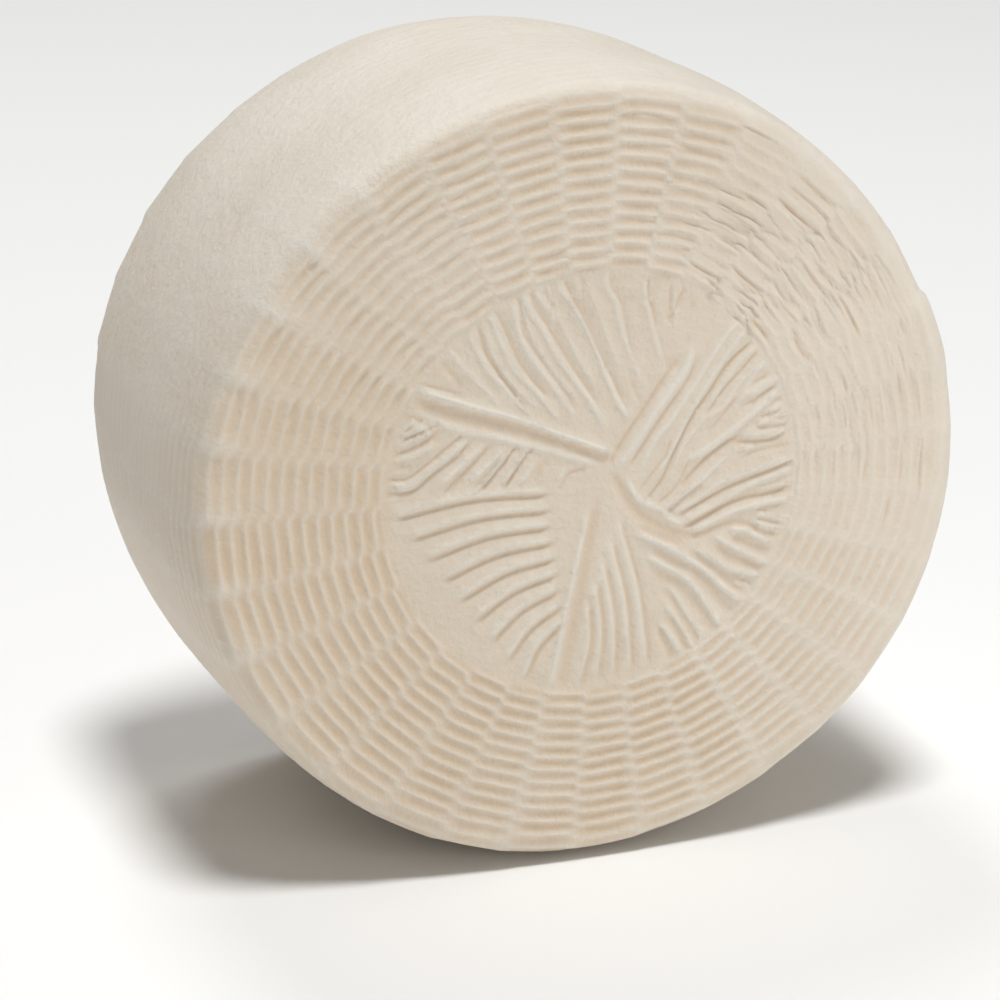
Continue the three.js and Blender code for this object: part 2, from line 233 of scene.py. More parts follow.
RIDGES = {
    "bars": [
        ([(-52.9, 32.0), (-48.2, 30.8), (-42.1, 28.3), (-35.0, 25.7), (-24.3, 21.7), (-12.5, 16.4),
          (6.0, 8.4)],
         2.2, 0.9),
        ([(-51.4, 25.4), (-46.4, 23.0), (-39.3, 19.6), (-27.9, 16.1), (-13.6, 11.0), (1.0, 5.4)], 3.0, 0.45),
        ([(7.0, 4.2), (12.5, 10.9), (18.7, 20.0), (26.7, 30.0), (29.0, 37.0)], 3.4, 0.65),
        ([(9.5, 0.5), (14.0, -6.5), (20.5, -9.8), (23.0, -12.8), (27.0, -15.0)], 2.4, 0.5),
        ([(-2.0, -8.0), (-6.5, -28.0), (-12.5, -56.0)], 2.4, 0.6),
    ],
    "top fan": [
        ([(-42.2, 42.2), (-36.3, 35.3), (-30.6, 28.8), (-28.0, 25.6)], 2.0, 0.45),
        ([(-36.9, 49.2), (-35.5, 44.1), (-31.5, 36.4), (-25.5, 29.1), (-19.0, 22.2)], 1.8, 0.5),
        ([(-31.0, 52.2), (-27.6, 43.4), (-23.6, 35.3), (-16.5, 27.6), (-10.0, 19.0)], 1.8, 0.5),
        ([(-24.0, 55.5), (-23.6, 50.5), (-21.5, 43.0), (-17.5, 36.5), (-9.4, 25.2), (-6.0, 19.5)], 2.0, 0.45),
        ([(-18.6, 50.2), (-15.5, 46.0), (-10.7, 37.0), (-5.1, 29.4), (0.2, 21.8), (3.0, 15.5)], 1.8, 0.55),
        ([(-18.0, 57.0), (-15.5, 53.7), (-11.5, 47.8)], 1.8, 0.4),
        ([(-10.6, 57.0), (-6.9, 52.2), (-1.1, 42.0), (3.0, 31.8), (7.0, 22.8), (11.0, 17.4)], 1.9, 0.6),
        ([(2.8, 56.5), (6.0, 51.2), (7.5, 44.1), (11.0, 35.3), (14.0, 28.0)], 1.8, 0.45),
        ([(14.3, 55.0), (15.6, 48.2), (17.0, 43.0), (19.5, 34.0)], 1.6, 0.4),
        ([(23.5, 52.5), (23.7, 42.5)], 1.7, 0.4),
        ([(-33.8, 50.9), (-31.5, 45.0), (-27.6, 36.0), (-21.4, 28.6), (-16.5, 23.5)], 1.4, 0.35),
        ([(-21.4, 54.5), (-19.6, 47.5), (-17.0, 41.0), (-11.6, 32.5), (-5.5, 25.0)], 1.4, 0.35),
        ([(-12.8, 54.0), (-9.0, 45.0), (-5.6, 38.0), (-0.5, 29.5)], 1.4, 0.35),
        ([(-2.0, 57.5), (0.6, 50.0), (3.6, 42.0), (7.6, 32.5)], 1.4, 0.3),
    ],
    "left fan": [
        ([(-55.2, 20.2), (-50.0, 21.6)], 1.5, 0.4),
        ([(-59.0, 16.7), (-54.3, 17.9), (-48.5, 20.2)], 1.8, 0.55),
        ([(-59.4, 13.0), (-54.0, 13.4), (-47.0, 16.2)], 1.8, 0.4),
        ([(-54.5, 5.3), (-50.0, 8.1), (-42.1, 13.2), (-38.0, 16.4)], 1.8, 0.6),
        ([(-44.9, 5.0), (-40.7, 8.4), (-33.6, 14.2)], 2.2, 0.55),
        ([(-37.0, 5.0), (-32.9, 7.7), (-26.6, 13.2)], 2.0, 0.5),
        ([(-33.4, 3.6), (-29.3, 7.5), (-25.0, 12.4)], 1.5, 0.5),
        ([(-28.0, 3.0), (-24.3, 6.9), (-20.6, 11.4)], 1.7, 0.55),
        ([(-22.5, 2.4), (-17.6, 8.2)], 2.0, 0.45),
        ([(-11.0, 2.2), (-8.4, 6.2)], 1.6, 0.4),
    ],
    "right fan": [
        ([(14.0, 3.0), (17.5, 10.0), (23.5, 17.0), (29.0, 24.6), (33.4, 31.0), (38.2, 38.0)], 2.4, 0.5),
        ([(19.0, 0.4), (25.5, 12.0), (31.0, 21.6), (38.5, 32.4), (43.0, 38.0)], 2.0, 0.5),
        ([(35.0, 20.0), (41.4, 29.0), (46.4, 33.6)], 1.8, 0.4),
        ([(8.8, 8.0), (14.2, 15.6), (19.8, 23.4), (24.6, 31.0)], 1.7, 0.35),
        ([(24.0, 2.8), (27.5, 9.5), (33.5, 16.5)], 1.7, 0.4),
        ([(42.5, 16.8), (46.5, 24.6), (51.4, 31.2)], 1.6, 0.4),
        ([(49.0, 28.2), (54.4, 30.6)], 1.5, 0.4),
        ([(52.5, 20.4), (58.0, 21.6)], 1.5, 0.35),
        ([(31.5, 15.0), (38.5, 18.6), (45.6, 27.0)], 1.8, 0.35),
        ([(28.0, 4.0), (34.6, 7.0), (43.3, 12.4), (51.2, 18.2), (54.0, 20.8)], 2.6, 0.7),
        ([(45.6, 21.6), (51.0, 22.6)], 1.9, 0.45),
        ([(51.5, 24.0), (55.2, 25.6)], 1.9, 0.45),
        ([(44.6, 9.9), (50.0, 9.4), (56.0, 9.3)], 1.8, 0.6),
        ([(50.0, 12.7), (58.0, 12.5)], 1.6, 0.5),
        ([(52.5, 16.2), (58.6, 16.3)], 1.6, 0.5),
        ([(42.0, 5.6), (49.0, 5.6)], 1.6, 0.4),
        ([(21.8, -9.4), (26.5, -6.4), (32.7, -2.2), (39.8, 4.0)], 2.0, 0.65),
        ([(24.0, -11.4), (30.0, -8.4), (39.6, -3.4), (51.2, -0.6), (59.0, 1.0)], 1.7, 0.55),
        ([(26.4, -14.4), (34.2, -11.0), (43.5, -6.9), (55.0, -3.4), (61.0, -1.9)], 2.0, 0.6),
        ([(28.5, -17.4), (35.0, -15.4), (43.5, -12.4), (58.0, -10.8)], 2.2, 0.6),
        ([(49.5, -7.0), (60.6, -5.7)], 1.5, 0.4),
        ([(50.0, -14.5), (58.0, -14.6)], 1.5, 0.4),
    ],
    "lower right fan": [
        ([(13.0, -16.0), (19.2, -19.2), (26.5, -23.8), (33.1, -28.5), (40.8, -36.2), (46.0, -40.2)],
         1.9, 0.9),
        ([(37.0, -19.4), (42.7, -23.5), (51.6, -28.6)], 1.8, 0.75),
        ([(41.2, -18.2), (46.0, -18.6), (51.2, -21.9), (57.0, -24.6)], 1.9, 0.8),
        ([(49.0, -16.5), (54.0, -19.3), (59.3, -20.2)], 1.7, 0.6),
        ([(31.3, -22.6), (36.5, -26.2), (41.2, -29.6), (50.2, -32.7)], 1.8, 0.75),
        ([(43.5, -34.0), (48.0, -35.6)], 1.5, 0.4),
        ([(15.8, -22.7), (21.9, -26.9), (28.5, -31.3), (33.1, -37.3), (37.6, -44.2)], 1.9, 0.8),
        ([(23.6, -33.0), (27.3, -39.6), (31.7, -46.2)], 1.6, 0.5),
        ([(22.3, -38.5), (25.8, -43.8), (28.7, -49.2)], 1.6, 0.55),
        ([(20.6, -43.4), (26.0, -51.6)], 1.7, 0.7),
    ],
}
# The unseen part of the disc is finished by rule with fans of even rushes:
# (rushes, tips of the first and last, feet of the first and last, bend)
RULED_FANS = [
    (9, ((-58.5, -4.0), (-20.0, -56.0)), ((-13.0, -2.0), (-8.5, -40.0)), 2.0),
    (5, ((-3.0, -59.5), (17.5, -56.5)), ((-1.0, -36.0), (8.0, -12.0)), -1.6),
]
# Width and depth or height of their marks, and how far each ridge lies from its groove.
RULED_GROOVE = (2.2, 0.8)
RULED_RIDGE = (2.0, 0.55)
RULED_SHIFT = (-1.2, 1.6)
# Traced marks whose end lies further out than the first of these radii run on to the second.
NEAR_RIM = 50.0
MARKS_RIM = 62.0
# Soft curd fills the grooves in part: the share of their depth that is left.
GROOVE_SHARE = 0.55
# Marks keep this share of their strength at their ends, and all of it between these shares of their way.
END_STRENGTH = 0.2
FULL_STRENGTH = (0.08, 0.92)
# Spacing of points along a mark, for its height and for the mesh, and shares of its half width at which
# the mesh has points across it.
MARK_SPACING = 2.0
MESH_SPACING = 1.5
MESH_SHARES = (0, -0.5, 0.5, -1.0, 1.0)
# Spacing of the filler points between the marks, least distances of mark points and filler points from
# their neighbours, the gap from the mesh's points to the disc's edge, and the distance within which the
# mesher takes two points for one.
FILLER_SPACING = 2.1
MARK_DISTANCE = 0.5
FILLER_DISTANCE = 1.0
EDGE_GAP = 0.9
MERGE_DISTANCE = 1e-5

# Creases of the woven ring: (first angle, last angle, radius in mm, arch in mm, depth in mm)
CREASES = [
    (22.5, 33.5, 88.2, 0.0, 0.6),
    (23.0, 33.5, 73.0, -2.6, 0.54),
    (33.5, 43.5, 63.4, 0.6, 0.54),
    (34.0, 43.0, 85.3, -0.5, 0.42),
    (33.0, 42.0, 73.9, -0.6, 0.42),
    (44.0, 56.0, 71.8, -0.8, 0.6),
    (44.0, 55.0, 94.4, -0.6, 0.6),
    (45.0, 54.0, 102.3, 0.4, 0.36),
    (45.0, 54.5, 98.6, 0.3, 0.36),
    (56.0, 61.5, 90.2, 0.4, 0.54),
    (55.5, 66.0, 67.2, -0.7, 0.54),
    (57.0, 65.5, 79.0, 0.3, 0.36),
    (60.5, 66.5, 106.6, 0.3, 0.54),
    (66.0, 76.0, 61.6, 0.6, 0.42),
    (19.5, 22.5, 101.2, 0.0, 0.54),
    (24.5, 31.0, 98.6, -0.5, 0.42),
    (-9.0, 1.8, 101.4, -0.6, 0.6),
    (-8.0, 1.0, 94.2, 0.2, 0.48),
    (-14.0, -9.0, 91.6, 0.3, 0.48),
    (-5.5, -1.5, 82.8, 0.0, 0.42),
    (-4.5, 2.0, 72.8, 0.2, 0.42),
    (3.5, 10.5, 85.3, 0.3, 0.3),
    (12.5, 18.0, 79.2, 0.2, 0.36),
    (77.5, 87.0, 102.6, 1.4, 0.48),
]
CREASE_HALF_WIDTH = 0.4

# Share of the hollow colour round the wheel, partly painted shade: least at the top and on the right, towards
# the light, and most on the left and lower left, away from it: (angle, share on the side, share on the woven
# ring, how much more of it for each mm of the weave's depth, painted shade in its grooves).
TINTS = [
    (-60, 0.25, 0.38, 1.6), (-20, 0.22, 0.32, 0.9), (10, 0.18, 0.33, 0.5), (40, 0.08, 0.34, 0.7),
    (70, 0.04, 0.38, 0.9), (92, 0.0, 0.40, 1.3), (110, 0.04, 0.42, 1.0), (125, 0.08, 0.43, 0.6),
    (145, 0.16, 0.50, 0.5), (165, 0.26, 0.58, 0.7), (180, 0.38, 0.64, 1.2), (230, 0.36, 0.56, 1.2),
    (300, 0.25, 0.42, 1.6),
]
DISC_TINT = 0.48
# How much more of it there is for each mm of depth of the other marks, partly whey and partly painted shade
# in the grooves, creases and dents, and how much less for each mm that the bulges of the shoulder stand
# proud, a painted highlight on them.
MARK_TINT = 0.9
BULGE_PALER = 0.9
# Wrinkles of the woven ring: (first angle, last angle, strength)
WRINKLED = [(28, 66, 1.0), (-2, 28, 0.6), (66, 128, 0.35), (128, 200, 0.2), (-62, -2, 0.2)]
WRINKLED_SOFTNESS = 5

# Values that each vertex of the plain wheel carries for the weave.
GUIDES = ("stake", "row", "weave", "lean", "gap", "warmth", "stain", "wrinkled", "carve")
# Inputs of the weave, each named after its setting.
WEAVE_INPUTS = (
    "Relief", "Roundness", "Crossing", "Ends", "Wobble", "Wrinkles", "Unevenness", "Grain", "Seed",
)
# Noises of the weave: (scale, place in the fourth dimension, detail)
WEAVE_NOISES = {
    "row waves": (60, 0, 2.0),
    "row jitter": (240, 21, 2.0),
    "stake waves": (70, 3, 2.0),
    "stake jitter": (260, 25, 2.0),
    "patches": (38, 7, 2.0),
    "small patches": (170, 9, 2.0),
    "surface waves": (22, 11, 1.0),
    "dents": (190, 17, 3.0),
    "wrinkle lines": (1.0, 0, 1.0),
    "wrinkle bends": (90, 23, 2.0),
    "wrinkle patches": (45, 29, 2.0),
}
# Shares of the wobble that the jitter of the rows and the strays of the stakes have.
ROW_JITTER = 0.6
STAKE_WOBBLE = 0.2
# Share of a groove's depth at which the cheese's own surface lies, half length of a groove's end in
# stakes, and strength of the small patches.
MEAN_DEPTH = 0.4
GROOVE_END = 0.17
SMALL_PATCHES = 0.8
# How the wrinkles' noise is drawn out along the stakes and rows and bent, the half width of a line in it,
# and the levels of the patches between which they show.
WRINKLE_STRETCH = (0.9, 0.42, 0.5)
WRINKLE_HALF_WIDTH = 0.04
WRINKLE_PATCHES = (-0.14, 0.06)

# Noises of the material: (scale, detail, roughness)
MOTTLE_NOISE = (26, 3.0, 0.5)
SHEEN_NOISE = (120, 3.0, 0.5)
CURD_NOISE = (620, 4.0, 0.65)
PIT_NOISE = (210, 2.0, 0.5)
MOTTLE_LEVELS = (0.42, 0.66)
SHEEN_CHANGE = 0.16
PIT_SHARE = 1.4
BUMP_STRENGTH = 0.65
BUMP_DISTANCE = 0.6 * MM
# Fresh curd lets a little light through.
CURD = {
    "Specular IOR Level": 0.35,
    "Subsurface Weight": 0.12,
    "Subsurface Radius": (1.0, 0.75, 0.5),
    "Subsurface Scale": 1.5 * MM,
}

# Softboxes: turn from the front towards +X and height angle (both in degrees), distance and width
# (both in metres) and power in watts.
SOFTBOXES = {
    "overhead": (-8, 75, 4.0, 1.0, 112),
    "back": (180, 60, 4.0, 1.4, 40),
    "card": (36, 0, 0.7, 0.22, 0.92),
}
LIGHTS_AIM = Vector((0.0, 0.0, 0.1))
CAMERA_AIM = Vector((-0.0152, -0.0288, 0.1009))
SENSOR_WIDTH = 36.0
WORLD_STRENGTH = 0.165
FLOOR_HALF = 6.0
FLOOR_ROUGHNESS = 0.9


# ---------------------------------------------------------------- settings


class CheeseWheelSettings(bpy.types.PropertyGroup):
    """Sizes of the wheel itself."""

    radius: bpy.props.FloatProperty(
        name="Radius", description="Radius at the fullest part of the side", default=115 * MM, unit="LENGTH")
    thickness: bpy.props.FloatProperty(
        name="Thickness", description="From the front face to the back face", default=126 * MM, unit="LENGTH")
    belly: bpy.props.FloatProperty(
        name="Belly", description="Half length of the straight middle of the side",
        default=20 * MM, unit="LENGTH")
    front_taper: bpy.props.FloatProperty(
        name="Front taper", description="How much slimmer the front shoulder is",
        default=2.4 * MM, unit="LENGTH")
    back_taper: bpy.props.FloatProperty(
        name="Back taper", description="How much slimmer the back shoulder is",
        default=4.1 * MM, unit="LENGTH")
    shoulder: bpy.props.FloatProperty(
        name="Shoulder", description="Rounding between face and side", default=6 * MM, unit="LENGTH")
    dome: bpy.props.FloatProperty(
        name="Dome", description="How far a face falls back towards its rim", default=1.8 * MM, unit="LENGTH")
    rest_flat: bpy.props.FloatProperty(
        name="Rest flat", description="Depth of the flat that the rim rests on",
        default=1.0 * MM, unit="LENGTH")


class BasketSettings(bpy.types.PropertyGroup):
    """The impression of the woven basket."""

    weaver: bpy.props.FloatProperty(
        name="Weaver width", description="Width of one row of weaving", default=1.98 * MM, unit="LENGTH")
    relief: bpy.props.FloatProperty(
        name="Relief", description="Depth of the weavers' marks", default=0.55 * MM, unit="LENGTH")
    roundness: bpy.props.FloatProperty(
        name="Weaver roundness", description="From wavy (0) to round grooves with sharp crests (1)",
        default=0.9)
    crossing: bpy.props.FloatProperty(
        name="Crossing width", description="Half width of the step from row to row at a stake, in stakes",
        default=0.12)
    ends: bpy.props.FloatProperty(
        name="Groove ends", description="Depth that is left of a groove at a stake", default=0.12)
    wobble: bpy.props.FloatProperty(
        name="Wobble", description="How far rows stray, in rows", default=0.7)
    wrinkles: bpy.props.FloatProperty(
        name="Wrinkles", description="Depth of the wrinkles of the woven rings",
        default=0.8 * MM, unit="LENGTH")
    disc_radius: bpy.props.FloatProperty(
        name="Disc radius", description="Radius of the plain middle disc", default=62.5 * MM, unit="LENGTH")
    disc_recess: bpy.props.FloatProperty(
        name="Disc recess", description="Depth of the disc below the weave", default=0.35 * MM, unit="LENGTH")
    back_turn: bpy.props.FloatProperty(
        name="Back disc turn", description="Turn of the back disc's rush marks", default=math.radians(64),
        subtype="ANGLE")
    unevenness: bpy.props.FloatProperty(
        name="Unevenness", description="Height of the soft waves of the surface",
        default=0.9 * MM, unit="LENGTH")
    grain: bpy.props.FloatProperty(
        name="Grain", description="Height of the small dents of the curd", default=0.22 * MM, unit="LENGTH")
    seed: bpy.props.FloatProperty(
        name="Seed", description="Place in the noise that the waves are read from", default=4.0)


class CheeseLooksSettings(bpy.types.PropertyGroup):
    """Colours and finish of the cheese."""

    crest: bpy.props.FloatVectorProperty(
        name="Crest colour", description="Milk white of the raised parts", default=(0.80, 0.745, 0.655),
        size=3, subtype="COLOR")
    # The hollow colour is partly the whey's warm colour and partly painted shade in the grooves and away from
    # the light.
    hollow: bpy.props.FloatVectorProperty(
        name="Hollow colour", description="Warmer colour where whey stood in the marks",
        default=(0.70, 0.555, 0.40), size=3, subtype="COLOR")
    shade: bpy.props.FloatVectorProperty(
        name="Mottle colour", description="Slightly greyer patches", default=(0.77, 0.71, 0.615),
        size=3, subtype="COLOR")
    roughness: bpy.props.FloatProperty(
        name="Roughness", description="Roughness of the moist surface", default=0.52)


class CheeseStageSettings(bpy.types.PropertyGroup):
    """Floor, lights and camera."""

    floor: bpy.props.FloatVectorProperty(
        name="Floor colour", description="Pale studio floor",
        default=(0.94, 0.94, 0.93), size=3, subtype="COLOR")
    azimuth: bpy.props.FloatProperty(
        name="Camera azimuth", description="Camera's turn about the wheel from its front",
        default=math.radians(-20.39), subtype="ANGLE")
    elevation: bpy.props.FloatProperty(
        name="Camera elevation", description="Camera's height angle",
        default=math.radians(17.76), subtype="ANGLE")
    distance: bpy.props.FloatProperty(
        name="Camera distance", description="From the camera to its aim", default=1.0, unit="LENGTH")
    lens: bpy.props.FloatProperty(
        name="Lens", description="Focal length in millimetres", default=126.0)


# ---------------------------------------------------------------- outline of the wheel


def stake_angle(place):
    """Angle in degrees of a place counted in stakes."""
    past_close = CLOSE_STAKES * CLOSE_STEP + (place - CLOSE_STAKES) * WIDE_STEP
    return FIRST_STAKE + np.where(place < CLOSE_STAKES, place * CLOSE_STEP, past_close)


def slump(angle):
    """How far the rim strays from a true circle, in metres, for angles in degrees."""
    return sum(height * MM * np.cos(waves * np.radians(angle - turn)) for waves, height, turn in SLUMP)


def half_outline(wheel, disc_radius, taper):
    """Half of the outline, from the disc's edge to the belly: (radius, depth) and length along it."""
    shoulder_radius = wheel.radius - taper
    round_start = shoulder_radius - wheel.shoulder
    round_depth = wheel.dome + wheel.shoulder
    belly_depth = wheel.thickness / 2 - wheel.belly
    share = np.linspace(0, 1, OUTLINE_STEPS)
    face = np.stack([disc_radius + (round_start - disc_radius) * share, wheel.dome * share], 1)
    turn = share * math.pi / 2
    bend_radius = round_start + wheel.shoulder * np.sin(turn)
    bend = np.stack([bend_radius, round_depth - wheel.shoulder * np.cos(turn)], 1)
    start = np.array([shoulder_radius, round_depth])
    bow = np.array([wheel.radius, (round_depth + belly_depth) / 2])
    end = np.array([wheel.radius, belly_depth])
    s = share[:, None]
    side = start * (1 - s) ** 2 + 2 * bow * s * (1 - s) + end * s ** 2
    middle = np.array([[wheel.radius, wheel.thickness / 2]])
    line = np.concatenate([face, bend[1:], side[1:], middle])
    length = np.concatenate([[0], np.cumsum(np.hypot(*np.diff(line, axis=0).T))])
    return line, length


def smooth_step(low, high, value):
    """Nothing up to low, one from high on, and a smooth rise between."""
    share = np.clip((value - low) / (high - low), 0, 1)
    return share * share * (3 - 2 * share)


def window(low, high, soft, value):
    """One between low and high, with soft ends."""
    return smooth_step(low - soft, low + soft, value) * (1 - smooth_step(high - soft, high + soft, value))


def fade_out(limits, reach, extra=0.0, shares=(1.0, 0.5)):
    """One up to the first limit and nothing past the second. They lie further out by shares of extra."""
    return 1 - smooth_step(limits[0] + shares[0] * extra, limits[1] + shares[1] * extra, reach)


# ---------------------------------------------------------------- rush marks of the disc, in mm


def smooth_path(points, spacing):
    """Points along a smooth curve through the given ones, at about the given spacing."""
    points = np.array(points, float)
    padded = np.concatenate([[2 * points[0] - points[1]], points, [2 * points[-1] - points[-2]]])
    path = []
    for i in range(len(points) - 1):
        p0, p1, p2, p3 = padded[i:i + 4]
        count = max(2, int(np.linalg.norm(p2 - p1) / spacing))
        t = (np.arange(count) / count)[:, None]
        path.append(0.5 * (2 * p1 + (p2 - p0) * t + (2 * p0 - 5 * p1 + 4 * p2 - p3) * t ** 2
                           + (3 * p1 - p0 - 3 * p2 + p3) * t ** 3))
    path.append(points[-1:])
    return np.concatenate(path)


def ruled_rushes():
    """Points of the rushes in the ruled fans, evenly spread from the first to the last."""
    rushes = []
    for count, tips, feet, bend in RULED_FANS:
        for share in np.linspace(0, 1, count):
            tip = np.array(tips[0]) * (1 - share) + np.array(tips[1]) * share
            foot = np.array(feet[0]) * (1 - share) + np.array(feet[1]) * share
            along = foot - tip
            across = np.array([-along[1], along[0]]) / np.linalg.norm(along)
            rushes.append(np.array([tip, (tip + foot) / 2 + across * bend, foot]))
    return rushes


def carried_to_rim(line):
    """The line of a mark, with an end that comes near the rim of the disc carried on to it."""
    line = np.array(line, float)
    first, last = line[0], line[-1]
    if np.hypot(*last) > NEAR_RIM:
        line = np.concatenate([line, [last * (MARKS_RIM / np.hypot(*last))]])
    if np.hypot(*first) > NEAR_RIM:
        line = np.concatenate([[first * (MARKS_RIM / np.hypot(*first))], line])
    return line


def all_grooves():
    traced = [(carried_to_rim(line), width, depth) for fan in GROOVES.values() for line, width, depth in fan]
    return traced + [(line, *RULED_GROOVE) for line in ruled_rushes()]


def all_ridges():
    traced = [(carried_to_rim(line), width, height) for fan in RIDGES.values() for line, width, height in fan]
    return traced + [(line + np.array(RULED_SHIFT), *RULED_RIDGE) for line in ruled_rushes()]


def away_from_path(points, path):
    """Distance to a path and place along it (0 to 1) for many points."""
    start, run = path[:-1], np.diff(path, axis=0)
    size = (run ** 2).sum(1)
    best = np.full(len(points), 1e9)
    place = np.zeros(len(points))
    reach = np.concatenate([[0], np.cumsum(np.sqrt(size))])
    for i in range(len(run)):
        offset = points - start[i]
        share = np.clip((offset @ run[i]) / size[i], 0, 1)
        distance = np.hypot(*(offset - share[:, None] * run[i]).T)
        nearer = distance < best
        best[nearer] = distance[nearer]
        place[nearer] = (reach[i] + share[nearer] * (reach[i + 1] - reach[i])) / reach[-1]
    return best, place


def mark_strength(place):
    """Marks taper off towards both ends."""
    rise, fall = FULL_STRENGTH
    full = smooth_step(0, rise, place) * (1 - smooth_step(fall, 1, place))
    return END_STRENGTH + (1 - END_STRENGTH) * full


def rush_relief(points):
    """Height of the rush marks at points in the disc's plane."""
    sunk = np.zeros(len(points))
    for line, width, depth in all_grooves():
        distance, place = away_from_path(points, smooth_path(line, MARK_SPACING))
        share = np.clip(distance / (width / 2), 0, 1)
        sunk = np.minimum(sunk, -depth * mark_strength(place) * (1 - share ** 2) ** 1.5)
    raised = np.zeros(len(points))
    for line, width, height in all_ridges():
        distance, place = away_from_path(points, smooth_path(line, MARK_SPACING))
        raised = np.maximum(raised, height * mark_strength(place) * np.exp(-(distance / (width / 3)) ** 2))
    return sunk * GROOVE_SHARE + raised


def filler_points(rim):
    """Points of an even triangular net that covers the disc."""
    side = np.arange(-rim, rim, FILLER_SPACING)
    across, up = np.meshgrid(side, side * math.sqrt(3) / 2)
    across[1::2] += FILLER_SPACING / 2
    return np.stack([across.ravel(), up.ravel()], 1)


def disc_points(rim):
    """Points to mesh the disc with: close together across each mark, wide apart elsewhere."""
    wanted = []
    for line, width, _ in all_grooves() + all_ridges():
        path = smooth_path(line, MESH_SPACING)
        along = np.gradient(path, axis=0)
        along /= np.linalg.norm(along, axis=1)[:, None]
        across = np.stack([-along[:, 1], along[:, 0]], 1)
        for share in MESH_SHARES:
            wanted.append(path + across * share * width / 2)
    filler = filler_points(rim)
    wanted = np.concatenate([*wanted, filler])
    wanted = wanted[np.hypot(*wanted.T) < rim]
    # The filler, and the last few marks with it, keep the wider distance.
    wide_from = len(wanted) - len(filler)
    kept = []
    cells = {}
    for i, point in enumerate(wanted):
        gap = MARK_DISTANCE if i < wide_from else FILLER_DISTANCE
        column, row = (int(value // FILLER_DISTANCE) for value in point)
        around = [(column + a, row + b) for a in (-1, 0, 1) for b in (-1, 0, 1)]
        near = [kept[k] for cell in around for k in cells.get(cell, ())]
        if all((point[0] - q[0]) ** 2 + (point[1] - q[1]) ** 2 > gap * gap for q in near):
            cells.setdefault((column, row), []).append(len(kept))
            kept.append(point)
    return np.array(kept)


# ---------------------------------------------------------------- marks of the woven ring and the side


def crease_depth(angle, radius):
    """Depth in mm of the creases at points of a woven ring: angles in degrees, radii in mm."""
    depth = np.zeros_like(radius)
    for first, last, ring, arch, deep in CREASES:
        middle, half = (first + last) / 2, (last - first) / 2
        away = (angle - middle + 180) % 360 - 180
        share = np.clip(np.abs(away) / half, 0, 1)
        line = ring + arch * (1 - share ** 2)
        across = np.exp(-((radius - line) / CREASE_HALF_WIDTH) ** 2)
        depth = np.maximum(depth, deep * (1 - share ** 3) * across)
    return depth


def weave_table(place):
    """Clearness of the weave and shift of its rows (in mm) for places counted in stakes."""
    table = np.array(SECTORS + [PLAIN_SECTOR] * (STAKES - len(SECTORS)))
    stake = np.round(place).astype(int)
    past = place - stake

    def shift(sector, share):
        _, outwards, sag, climb = table[sector % STAKES].T
        return outwards + climb * (share - 0.5) - sag * (0.5 - (2 * share - 1) ** 2)

    crossed = smooth_step(-SHIFT_BLEND, SHIFT_BLEND, past)
    shifted = shift(stake - 1, past + 1) * (1 - crossed) + shift(stake, past) * crossed
    blend = smooth_step(-CLEARNESS_BLEND, CLEARNESS_BLEND, past)
    clear = table[(stake - 1) % STAKES, 0] * (1 - blend) + table[stake % STAKES, 0] * blend
    share = place - np.floor(place)
    fainter = UNEVEN_SHARE * smooth_step(*UNEVEN_RISE, share) * (1 - smooth_step(*UNEVEN_FALL, share))
    clear = clear * (1 - fainter * window(*UNEVEN_SECTORS, stake_angle(place % STAKES) % 360))
    return clear, shifted


def shoulder_bulges(place, reach):
    """Height in mm of the bulges where the stakes bend over the shoulder, and of the flutes behind them."""
    begin, peak, end = BULGE_PLACES
    share = place - np.round(place)
    bulge = smooth_step(begin, peak, share) * (1 - smooth_step(peak, end, share)) - BULGE_MEAN
    height = BULGE_HEIGHT + BULGE_HIGHER * window(*BULGE_HIGHER_ANGLES, stake_angle(place % STAKES) % 360)
    return height * (window(*BULGE_REACH, reach) + FLUTE_SHARE * smooth_step(*FLUTE_START, reach)) * bulge


def rim_step(angle, reach):
    """Height in mm of the small step of the front rim on its right."""
    turned = (angle + 180) % 360 - 180
    fallen = smooth_step(*STEP_FALL, turned)
    proud = smooth_step(*STEP_RISE, turned) * (1 - fallen)
    back = fallen * (1 - smooth_step(*STEP_RETURN, turned))
    return (STEP_PROUD * proud - STEP_BACK * back) * window(*STEP_REACH, reach)


def over_shoulder(angle):
    """How much further out the weave runs, in mm."""
    return OVER_SHOULDER_MM * window(*OVER_SHOULDER, angle % 360)


def weave_guides(place, angle, reach, weaver, side_reach):
    """Where the stakes and rows run, and how clear they are. Reaches and widths are in mm."""
    turned = angle % 360
    extra = over_shoulder(angle)
    clear, shifted = weave_table(place)
    woven = WEAVER_ROWS * weaver
    side_row = side_reach / round(side_reach / SIDE_ROW)
    row = np.where(reach <= woven, reach / weaver, WEAVER_ROWS + (reach - woven) / side_row)
    row -= shifted / weaver * fade_out(SHIFT_END, reach, extra)
    on_ring = fade_out(WEAVE_END, reach, extra)
    clearer = window(*CLEARER_SIDE, turned) * fade_out(CLEARER_SIDE_END, reach)
    on_side = SIDE_CLEARNESS + CLEARER_BY * clearer
    weave = smooth_step(*WEAVE_START, reach / weaver) * (clear * on_ring + on_side * (1 - on_ring))
    outwards = (angle > OUTWARD_STEPS[0]) & (angle < OUTWARD_STEPS[1])
    gap = GAP + sum(more * window(first, last, GAP_SOFTNESS, turned) for first, last, more in GAP_CHANGES)
    gap *= 1 - GAP_LOSS * smooth_step(*GAP_LOSS_REACH, reach)
    return {"stake": place, "row": row, "weave": weave, "lean": np.where(outwards, -1.0, 1.0), "gap": gap}


